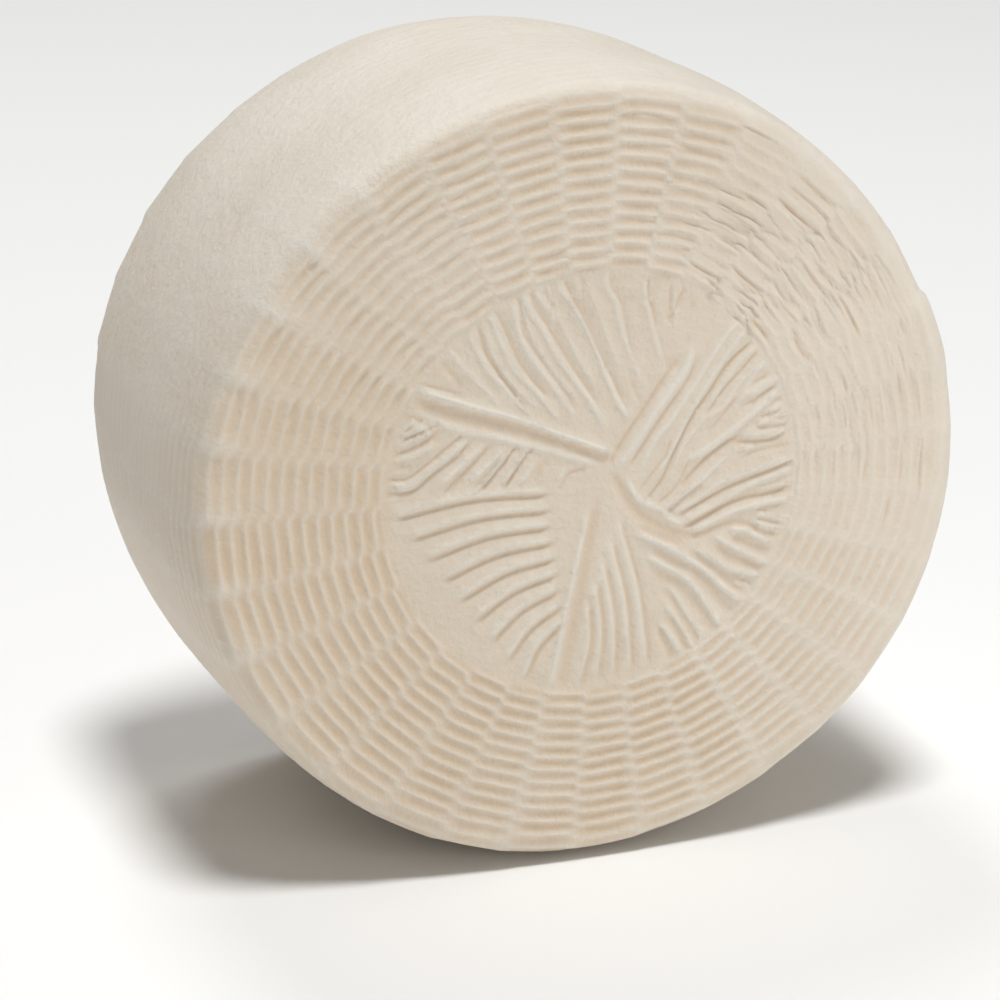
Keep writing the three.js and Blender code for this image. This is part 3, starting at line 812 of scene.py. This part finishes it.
def tint_guides(angle, reach, bulge):
    """Shares of the hollow colour, with painted shade away from the light and a painted highlight on the
    bulges, and of the wrinkles. Reaches and bulges are in mm.
    """
    tint_angle, side_tint, ring_tint, weave_tint = np.array(TINTS).T
    from_seam = (angle - tint_angle[0]) % 360 + tint_angle[0]
    on_ring = fade_out(TINT_END, reach, over_shoulder(angle), TINT_END_SHARES)
    warmth = (np.interp(from_seam, tint_angle, side_tint) * (1 - on_ring)
              + np.interp(from_seam, tint_angle, ring_tint) * on_ring)
    wrinkled = sum(strength * window(first, last, WRINKLED_SOFTNESS, (angle - first + 90) % 360 + first - 90)
                   for first, last, strength in WRINKLED)
    return {
        # Painted highlight: the bulges of the shoulder get less of the hollow colour, so they come out paler.
        "warmth": warmth - BULGE_PALER * np.maximum(bulge, 0),
        "stain": np.interp(from_seam, tint_angle, weave_tint),
        "wrinkled": wrinkled * fade_out(WRINKLES_END, reach),
    }


# ---------------------------------------------------------------- the wheel's mesh, in metres


class WheelMesh:
    """Vertices, faces and guides of the plain wheel, before the weave is pressed in."""

    def __init__(self):
        self.points = []
        self.outward = []
        self.guides = {label: [] for label in GUIDES}
        self.faces = []
        self.count = 0

    def add(self, points, outward, **guides):
        """Adds vertices, whose guides are nothing where none is given. Returns the number of the first."""
        first = self.count
        self.points.append(points)
        self.outward.append(outward)
        for label, store in self.guides.items():
            store.append(guides.get(label, np.zeros(len(points))))
        self.count += len(points)
        return first

    def to_object(self, name):
        mesh = bpy.data.meshes.new(name)
        mesh.from_pydata(np.concatenate(self.points), [], self.faces)
        for label, store in self.guides.items():
            layer = mesh.attributes.new(label, "FLOAT", "POINT")
            layer.data.foreach_set("value", np.concatenate(store).astype(np.float32))
        layer = mesh.attributes.new("outward", "FLOAT_VECTOR", "POINT")
        layer.data.foreach_set("vector", np.concatenate(self.outward).astype(np.float32).ravel())
        piece = bpy.data.objects.new(name, mesh)
        bpy.context.scene.collection.objects.link(piece)
        return piece


class Profile:
    """Stations of one half of the wheel, from the disc's wall to the belly."""

    def __init__(self, wheel, basket, taper, side):
        # The front half ends on the belly's middle line and the back half one station before it.
        self.line, self.length = half_outline(wheel, basket.disc_radius, taper)
        woven = WEAVER_ROWS * basket.weaver
        self.side_reach = self.length[-1] - woven
        per_row = FRONT_STATIONS if side < 0 else BACK_STATIONS
        on_ring = np.linspace(0, woven, WEAVER_ROWS * per_row + 1)
        side_count = int(round(self.side_reach / (SIDE_STATION * MM)))
        on_side = np.linspace(woven, self.length[-1], side_count + 1)[1:]
        if side > 0:
            on_side = on_side[:-1]
        reach = np.concatenate([on_ring, on_side])
        radius = self.radius_at(reach)
        depth = np.interp(reach, self.length, self.line[:, 1])
        along = np.stack([np.gradient(radius, reach), np.gradient(depth, reach)], 1)
        along /= np.linalg.norm(along, axis=1)[:, None]
        wall = WALL * MM * WALL_SHARES
        flat = np.zeros(len(wall))
        self.reach = np.concatenate([-wall, reach])
        self.radius = np.concatenate([basket.disc_radius - wall, radius])
        self.depth = np.concatenate([basket.disc_recess * smooth_step(0, 1, WALL_SHARES), depth])
        self.out_radius = np.concatenate([flat, along[:, 1]])
        self.out_depth = np.concatenate([flat - 1, -along[:, 0]])

    def radius_at(self, reach):
        return np.interp(np.maximum(reach, 0), self.length, self.line[:, 0])


def column_places():
    """Places of the mesh's columns round the wheel, closer together at the stakes."""
    return (np.arange(STAKES)[:, None] + np.array(COLUMN_SHARES)[None, :]).ravel()


def half_wheel(mesh, wheel, basket, taper, side, centre_height):
    """One half of the wheel from the disc's wall to the belly. Returns its first vertex and stations."""
    profile = Profile(wheel, basket, taper, side)
    stations = len(profile.reach)
    columns = len(column_places())
    place = np.repeat(column_places(), stations)
    angle = stake_angle(place)
    turn = np.radians(angle)

    def everywhere(values):
        return np.tile(values, columns)

    radius = everywhere(profile.radius) * (1 + slump(angle) / wheel.radius)
    y = side * (wheel.thickness / 2 - everywhere(profile.depth))
    points = np.stack([radius * np.cos(turn), y, radius * np.sin(turn) + centre_height], 1)
    out_radius = everywhere(profile.out_radius)
    out_y = -side * everywhere(profile.out_depth)
    outward = np.stack([out_radius * np.cos(turn), out_y, out_radius * np.sin(turn)], 1)

    reach = everywhere(profile.reach) / MM
    bulge = shoulder_bulges(place, reach)
    points += outward * (bulge * MM)[:, None]
    guides = weave_guides(place, angle, reach, basket.weaver / MM, profile.side_reach / MM)
    guides.update(tint_guides(angle, reach, bulge))
    if side < 0:
        points += outward * (rim_step(angle, reach) * MM)[:, None]
        guides["carve"] = -MM * crease_depth(angle, everywhere(profile.radius_at(profile.reach)) / MM)
    first = mesh.add(points, outward, **guides)
    for column in range(columns):
        left = first + column * stations
        right = first + ((column + 1) % columns) * stations
        for i in range(stations - 1):
            quad = (left + i, left + i + 1, right + i + 1, right + i)
            mesh.faces.append(quad if side < 0 else quad[::-1])
    return first, stations


def join_halves(mesh, front, back, stations_front, stations_back):
    """Closes the belly between the last stations of both halves."""
    columns = len(column_places())
    for column in range(columns):
        following = (column + 1) % columns
        a = front + column * stations_front + stations_front - 1
        b = front + following * stations_front + stations_front - 1
        c = back + following * stations_back + stations_back - 1
        d = back + column * stations_back + stations_back - 1
        mesh.faces.append((d, c, b, a))


def add_disc(mesh, wheel, basket, side, centre_height, rim_first, stations):
    """The middle disc inside the ring's inner edge, meshed closely along its rush marks."""
    columns = len(column_places())
    rim_ids = [rim_first + column * stations for column in range(columns)]
    rim_points = np.concatenate(mesh.points)[rim_ids]
    turn = 0.0 if side < 0 else basket.back_turn
    cos, sin = math.cos(turn), math.sin(turn)

    def to_plane(points):
        flat = np.stack([-side * points[:, 0], points[:, 2] - centre_height], 1) / MM
        return np.stack([flat[:, 0] * cos + flat[:, 1] * sin, -flat[:, 0] * sin + flat[:, 1] * cos], 1)

    rim = to_plane(rim_points)
    inner = disc_points(np.hypot(*rim.T).min() - EDGE_GAP)
    flat = np.concatenate([rim, inner])
    edges = [(i, (i + 1) % columns) for i in range(columns)]
    found, _, faces, origins, _, _ = delaunay_2d_cdt([Vector(p) for p in flat], edges, [], 1, MERGE_DISTANCE)
    ids = {}
    placed = []
    for i, origin in enumerate(origins):
        if origin and min(origin) < columns:
            ids[i] = rim_ids[min(origin)]
        else:
            ids[i] = None
            placed.append(i)
    plane = np.array([found[i][:] for i in placed])
    back = np.stack([plane[:, 0] * cos - plane[:, 1] * sin, plane[:, 0] * sin + plane[:, 1] * cos], 1) * MM
    level = np.full(len(plane), side * (wheel.thickness / 2 - basket.disc_recess))
    points = np.stack([-side * back[:, 0], level, back[:, 1] + centre_height], 1)
    outward = np.tile([0.0, float(side), 0.0], (len(plane), 1))
    warmth = np.full(len(plane), DISC_TINT)
    first = mesh.add(points, outward, warmth=warmth, carve=rush_relief(plane) * MM)
    for k, i in enumerate(placed):
        ids[i] = first + k
    for face in faces:
        corners = [ids[i] for i in face]
        a, b, c = (np.array(found[i][:]) for i in face[:3])
        turns_left = (b[0] - a[0]) * (c[1] - a[1]) - (b[1] - a[1]) * (c[0] - a[0]) > 0
        mesh.faces.append(tuple(corners if turns_left else corners[::-1]))


def plain_wheel(wheel, basket):
    """The wheel with everything but the weave, as an object whose attributes guide the weave."""
    centre_height = wheel.radius - wheel.rest_flat
    mesh = WheelMesh()
    front, stations_front = half_wheel(mesh, wheel, basket, wheel.front_taper, -1, centre_height)
    back, stations_back = half_wheel(mesh, wheel, basket, wheel.back_taper, 1, centre_height)
    join_halves(mesh, front, back, stations_front, stations_back)
    add_disc(mesh, wheel, basket, -1, centre_height, front, stations_front)
    add_disc(mesh, wheel, basket, 1, centre_height, back, stations_back)
    return mesh.to_object(NODE + "_body")


# ---------------------------------------------------------------- node helpers


class Tree:
    """Shorthands for building a node tree."""

    def __init__(self, tree):
        self.tree = tree

    def node(self, kind, **settings):
        node = self.tree.nodes.new(kind)
        for key, value in settings.items():
            setattr(node, key, value)
        return node

    def put(self, value, socket):
        """Links another node's output to an input socket, or sets the socket to a plain value."""
        if isinstance(value, bpy.types.NodeSocket):
            self.tree.links.new(value, socket)
        else:
            socket.default_value = value

    def math(self, operation, *values):
        node = self.node("ShaderNodeMath", operation=operation)
        for value, socket in zip(values, node.inputs):
            self.put(value, socket)
        return node.outputs[0]

    def plus(self, first, second):
        return self.math("ADD", first, second)

    def minus(self, first, second):
        return self.math("SUBTRACT", first, second)

    def times(self, first, second):
        return self.math("MULTIPLY", first, second)


# ---------------------------------------------------------------- the weave


class WeaveTree(Tree):
    """The node tree of the weave, with its inputs, guides and noises."""

    def __init__(self):
        super().__init__(bpy.data.node_groups.new("Basket weave", "GeometryNodeTree"))
        face = self.tree.interface
        face.new_socket("Geometry", in_out="INPUT", socket_type="NodeSocketGeometry")
        for label in WEAVE_INPUTS:
            face.new_socket(label, in_out="INPUT", socket_type="NodeSocketFloat")
        face.new_socket("Geometry", in_out="OUTPUT", socket_type="NodeSocketGeometry")
        self.given = self.node("NodeGroupInput").outputs
        self.position = self.node("GeometryNodeInputPosition").outputs[0]
        self.guides = {label: self.attribute(label) for label in GUIDES}

    def attribute(self, label, kind="FLOAT"):
        node = self.node("GeometryNodeInputNamedAttribute", data_type=kind)
        node.inputs["Name"].default_value = label
        return node.outputs["Attribute"]

    def noise(self, label, vector=None):
        """One of the noises, from about -0.5 to 0.5."""
        scale, place, detail = WEAVE_NOISES[label]
        node = self.node("ShaderNodeTexNoise", noise_dimensions="4D")
        self.put(vector or self.position, node.inputs["Vector"])
        self.put(self.plus(self.given["Seed"], place), node.inputs["W"])
        node.inputs["Scale"].default_value = scale
        node.inputs["Detail"].default_value = detail
        return self.minus(node.outputs[0], 0.5)

    def smooth_range(self, value, low, high):
        node = self.node("ShaderNodeMapRange", interpolation_type="SMOOTHSTEP")
        self.put(value, node.inputs["Value"])
        self.put(low, node.inputs["From Min"])
        self.put(high, node.inputs["From Max"])
        return node.outputs["Result"]


def wrinkle_depth(t):
    """Wrinkles run along lines where a noise that is drawn out along the rows crosses its mean."""
    spread = t.node("ShaderNodeCombineXYZ")
    sources = (t.guides["stake"], t.guides["row"], t.noise("wrinkle bends"))
    for source, stretch, socket in zip(sources, WRINKLE_STRETCH, spread.inputs):
        t.put(t.times(source, stretch), socket)
    from_line = t.math("ABSOLUTE", t.noise("wrinkle lines", spread.outputs[0]))
    on_line = t.times(t.smooth_range(from_line, WRINKLE_HALF_WIDTH, 0.0), t.guides["wrinkled"])
    patchy = t.smooth_range(t.noise("wrinkle patches"), *WRINKLE_PATCHES)
    return t.times(t.times(on_line, patchy), t.given["Wrinkles"])


def groove_share(t):
    """Share of a groove's full depth: nothing on a crest and one in the middle of a groove.

    A groove lies wherever a weaver passes in front of a stake. It fades out at the next stake, where the
    weaver goes behind, and steps over to the neighbouring row.
    """
    wobble = t.given["Wobble"]
    row = t.plus(t.guides["row"], t.times(t.noise("row waves"), wobble))
    row = t.plus(row, t.times(t.noise("row jitter"), t.times(wobble, ROW_JITTER)))
    stake = t.plus(t.guides["stake"], t.times(t.noise("stake waves"), t.times(wobble, STAKE_WOBBLE)))
    stake = t.plus(stake, t.times(t.noise("stake jitter"), t.times(wobble, STAKE_WOBBLE)))
    middle = t.minus(stake, 0.5)
    sector = t.math("FLOOR", middle)
    share = t.minus(middle, sector)
    step = t.smooth_range(share, t.minus(0.5, t.given["Crossing"]), t.plus(0.5, t.given["Crossing"]))
    phase = t.minus(row, t.plus(sector, t.times(t.guides["lean"], step)))
    inside = t.math("PINGPONG", phase, 1.0)
    away = t.minus(1.0, inside)
    shape = t.node("ShaderNodeMix", data_type="FLOAT")
    t.put(t.given["Roundness"], shape.inputs["Factor"])
    t.put(t.minus(0.5, t.times(t.math("COSINE", t.times(inside, math.pi)), 0.5)), shape.inputs["A"])
    t.put(t.minus(1.0, t.times(away, away)), shape.inputs["B"])
    off_stake = t.smooth_range(t.math("ABSOLUTE", t.minus(share, 0.5)), 0.0, GROOVE_END)
    closed = t.times(t.minus(1.0, off_stake), t.minus(1.0, t.given["Ends"]))
    return t.times(shape.outputs["Result"], t.minus(1.0, t.times(closed, t.guides["gap"])))


def woven_height(t):
    """Height of the weave over the cheese's own surface."""
    patchy = t.plus(1.0, t.plus(t.noise("patches"), t.times(t.noise("small patches"), SMALL_PATCHES)))
    depth = t.times(t.times(groove_share(t), t.given["Relief"]), patchy)
    return t.times(t.minus(t.times(t.given["Relief"], MEAN_DEPTH), depth), t.guides["weave"])


def store_hollow(t, woven, marks):
    """Stores the share of the hollow colour: the guides' own, and more for depth, partly for whey and partly
    as painted shade in the grooves.
    """
    node = t.node("GeometryNodeStoreNamedAttribute", data_type="FLOAT", domain="POINT")
    node.inputs["Name"].default_value = "hollow"
    t.put(t.given["Geometry"], node.inputs["Geometry"])
    # Painted shade: the deeper a place lies, the more of the hollow colour it gets, and crests get less.
    depth_shade_and_whey = t.times(t.times(woven, t.guides["stain"]), -1 / MM)
    marked = t.times(marks, -MARK_TINT / MM)
    t.put(t.plus(t.plus(depth_shade_and_whey, marked), t.guides["warmth"]), node.inputs["Value"])
    return node.outputs["Geometry"]


def rest_on_table(t, geometry):
    """The rim rests flat: nothing goes below the table."""
    parts = t.node("ShaderNodeSeparateXYZ")
    t.put(t.position, parts.inputs[0])
    level = t.node("ShaderNodeCombineXYZ")
    t.put(parts.outputs[0], level.inputs[0])
    t.put(parts.outputs[1], level.inputs[1])
    t.put(t.math("MAXIMUM", parts.outputs[2], 0.0), level.inputs[2])
    settle = t.node("GeometryNodeSetPosition")
    t.put(geometry, settle.inputs["Geometry"])
    t.put(level.outputs[0], settle.inputs["Position"])
    return settle.outputs[0]


def weave_tree(material):
    """Geometry Nodes that press the basket's weave into the wheel."""
    t = WeaveTree()
    woven = woven_height(t)
    marks = t.plus(t.guides["carve"], t.times(t.noise("dents"), t.given["Grain"]))
    waves = t.times(t.noise("surface waves"), t.given["Unevenness"])
    height = t.minus(t.plus(t.plus(woven, marks), waves), wrinkle_depth(t))
    offset = t.node("ShaderNodeVectorMath", operation="SCALE")
    t.put(t.attribute("outward", "FLOAT_VECTOR"), offset.inputs[0])
    t.put(height, offset.inputs["Scale"])
    move = t.node("GeometryNodeSetPosition")
    t.put(store_hollow(t, woven, marks), move.inputs["Geometry"])
    t.put(offset.outputs[0], move.inputs["Offset"])
    smooth = t.node("GeometryNodeSetShadeSmooth")
    t.put(rest_on_table(t, move.outputs[0]), smooth.inputs["Geometry"])
    realize = t.node("GeometryNodeRealizeInstances")
    t.put(smooth.outputs[0], realize.inputs[0])
    finish = t.node("GeometryNodeSetMaterial")
    t.put(realize.outputs[0], finish.inputs["Geometry"])
    finish.inputs["Material"].default_value = material
    t.put(finish.outputs[0], t.node("NodeGroupOutput").inputs[0])
    return t.tree


def press_weave(piece, basket, material):
    """Runs the weave on the plain wheel and keeps the result as a plain mesh."""
    modifier = piece.modifiers.new("Basket weave", "NODES")
    modifier.node_group = weave_tree(material)
    for item in modifier.node_group.interface.items_tree:
        if item.name in WEAVE_INPUTS:
            modifier[item.identifier] = getattr(basket, item.name.lower())
    evaluated = piece.evaluated_get(bpy.context.evaluated_depsgraph_get())
    mesh = bpy.data.meshes.new_from_object(evaluated)
    plain = piece.data
    piece.modifiers.clear()
    piece.data = mesh
    bpy.data.meshes.remove(plain)
    for label in (*GUIDES, "outward"):
        mesh.attributes.remove(mesh.attributes[label])


# ---------------------------------------------------------------- material


def cheese_material(looks):
    """Moist, slightly see-through fresh curd, warmer and darker in the hollows, partly from whey and partly
    from painted shade.
    """
    material = bpy.data.materials.new("fresh cheese")
    material.use_nodes = True
    t = Tree(material.node_tree)
    shader = material.node_tree.nodes["Principled BSDF"]
    where = t.node("ShaderNodeTexCoord").outputs["Object"]

    def noise(scale, detail, roughness):
        node = t.node("ShaderNodeTexNoise")
        t.put(where, node.inputs["Vector"])
        node.inputs["Scale"].default_value = scale
        node.inputs["Detail"].default_value = detail
        node.inputs["Roughness"].default_value = roughness
        return node.outputs[0]

    def blend(factor, first, second):
        node = t.node("ShaderNodeMix", data_type="RGBA")
        t.put(factor, node.inputs["Factor"])
        t.put(first, node.inputs["A"])
        t.put(second, node.inputs["B"])
        return node.outputs["Result"]

    patches = t.node("ShaderNodeMapRange")
    t.put(noise(*MOTTLE_NOISE), patches.inputs["Value"])
    patches.inputs["From Min"].default_value, patches.inputs["From Max"].default_value = MOTTLE_LEVELS
    mottled = blend(patches.outputs["Result"], (*looks.crest, 1), (*looks.shade, 1))
    # The hollow share carries painted shade, more in grooves and away from the light, and a painted highlight
    # on the bulges.
    tint = t.node("ShaderNodeAttribute", attribute_name="hollow").outputs["Fac"]
    t.put(blend(tint, mottled, (*looks.hollow, 1)), shader.inputs["Base Color"])

    sheen = t.times(noise(*SHEEN_NOISE), SHEEN_CHANGE)
    t.put(t.plus(sheen, looks.roughness - SHEEN_CHANGE / 2), shader.inputs["Roughness"])
    for label, value in CURD.items():
        shader.inputs[label].default_value = value

    bump = t.node("ShaderNodeBump")
    bump.inputs["Strength"].default_value = BUMP_STRENGTH
    bump.inputs["Distance"].default_value = BUMP_DISTANCE
    t.put(t.plus(noise(*CURD_NOISE), t.times(noise(*PIT_NOISE), PIT_SHARE)), bump.inputs["Height"])
    t.put(bump.outputs[0], shader.inputs["Normal"])
    return material


def matte_material(name, colour):
    """One plain colour without a shine."""
    material = bpy.data.materials.new(name)
    material.use_nodes = True
    shader = material.node_tree.nodes["Principled BSDF"]
    shader.inputs["Base Color"].default_value = (*colour, 1)
    shader.inputs["Roughness"].default_value = FLOOR_ROUGHNESS
    return material


# ---------------------------------------------------------------- stage


def add_softbox(name, azimuth, elevation, distance, width, power):
    """A round softbox that aims at the wheel."""
    light = bpy.data.lights.new(name, "AREA")
    light.shape = "DISK"
    light.size = width
    light.energy = power
    away = Vector((
        math.sin(azimuth) * math.cos(elevation),
        -math.cos(azimuth) * math.cos(elevation),
        math.sin(elevation),
    ))
    lamp = bpy.data.objects.new(name, light)
    lamp.location = LIGHTS_AIM + away * distance
    lamp.rotation_euler = away.to_track_quat("Z", "Y").to_euler()
    bpy.context.scene.collection.objects.link(lamp)


def add_floor(colour):
    """A flat square floor that reaches past the picture."""
    mesh = bpy.data.meshes.new("floor")
    corners = [(x * FLOOR_HALF, y * FLOOR_HALF, 0) for x, y in ((-1, -1), (1, -1), (1, 1), (-1, 1))]
    mesh.from_pydata(corners, [], [(0, 1, 2, 3)])
    mesh.materials.append(matte_material("pale floor", colour))
    floor = bpy.data.objects.new("floor", mesh)
    bpy.context.scene.collection.objects.link(floor)


def add_camera(stage):
    """The camera of the photo's angle."""
    camera = bpy.data.cameras.new("camera")
    camera.lens = stage.lens
    camera.sensor_width = SENSOR_WIDTH
    rig = bpy.data.objects.new("camera", camera)
    level = math.cos(stage.elevation) * stage.distance
    rig.location = CAMERA_AIM + Vector((
        math.sin(stage.azimuth) * level,
        -math.cos(stage.azimuth) * level,
        math.sin(stage.elevation) * stage.distance,
    ))
    rig.rotation_euler = (math.pi / 2 - stage.elevation, 0.0, stage.azimuth)
    bpy.context.scene.collection.objects.link(rig)
    bpy.context.scene.camera = rig


# ---------------------------------------------------------------- operators and panel


class CHEESE_OT_wheel(bpy.types.Operator):
    """Build the wheel of cheese with the basket's weave and rush marks"""

    bl_idname = "cheese.wheel"
    bl_label = "Cheese wheel"

    def execute(self, context):
        scene = context.scene
        material = cheese_material(scene.cheese_looks)
        piece = plain_wheel(scene.cheese_wheel, scene.cheese_basket)
        press_weave(piece, scene.cheese_basket, material)
        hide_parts(NODE)
        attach(piece, "root")
        return {"FINISHED"}


class CHEESE_OT_stage(bpy.types.Operator):
    """Set up the pale floor, the soft lights and the camera"""

    bl_idname = "cheese.stage"
    bl_label = "Stage"

    def execute(self, context):
        stage = context.scene.cheese_stage
        add_floor(stage.floor)
        add_camera(stage)
        for name, (azimuth, elevation, distance, width, power) in SOFTBOXES.items():
            add_softbox(name, math.radians(azimuth), math.radians(elevation), distance, width, power)
        world = bpy.data.worlds.new("studio")
        world.use_nodes = True
        backdrop = world.node_tree.nodes["Background"]
        backdrop.inputs["Color"].default_value = (1.0, 1.0, 1.0, 1)
        backdrop.inputs["Strength"].default_value = WORLD_STRENGTH
        context.scene.world = world
        context.scene.view_settings.view_transform = "Standard"
        return {"FINISHED"}


class CHEESE_PT_panel(bpy.types.Panel):
    """Lists the cheese's operators and settings"""

    bl_idname = "CHEESE_PT_panel"
    bl_label = "Basket-moulded cheese"
    bl_space_type = "VIEW_3D"
    bl_region_type = "UI"
    bl_category = "Cheese"

    def draw(self, context):
        layout = self.layout
        layout.operator(CHEESE_OT_wheel.bl_idname)
        layout.operator(CHEESE_OT_stage.bl_idname)
        for label in SETTINGS:
            settings = getattr(context.scene, label)
            box = layout.box()
            for key in settings.__annotations__:
                box.prop(settings, key)


SETTINGS = {
    "cheese_wheel": CheeseWheelSettings,
    "cheese_basket": BasketSettings,
    "cheese_looks": CheeseLooksSettings,
    "cheese_stage": CheeseStageSettings,
}
CLASSES = (*SETTINGS.values(), CHEESE_OT_wheel, CHEESE_OT_stage, CHEESE_PT_panel)


def register():
    for cls in CLASSES:
        bpy.utils.register_class(cls)
    for label, cls in SETTINGS.items():
        setattr(bpy.types.Scene, label, bpy.props.PointerProperty(type=cls))


def unregister():
    for label in SETTINGS:
        delattr(bpy.types.Scene, label)
    for cls in reversed(CLASSES):
        bpy.utils.unregister_class(cls)


def main():
    register()
    bpy.ops.cheese.wheel()
    bpy.ops.cheese.stage()


if __name__ == "__main__":
    main()
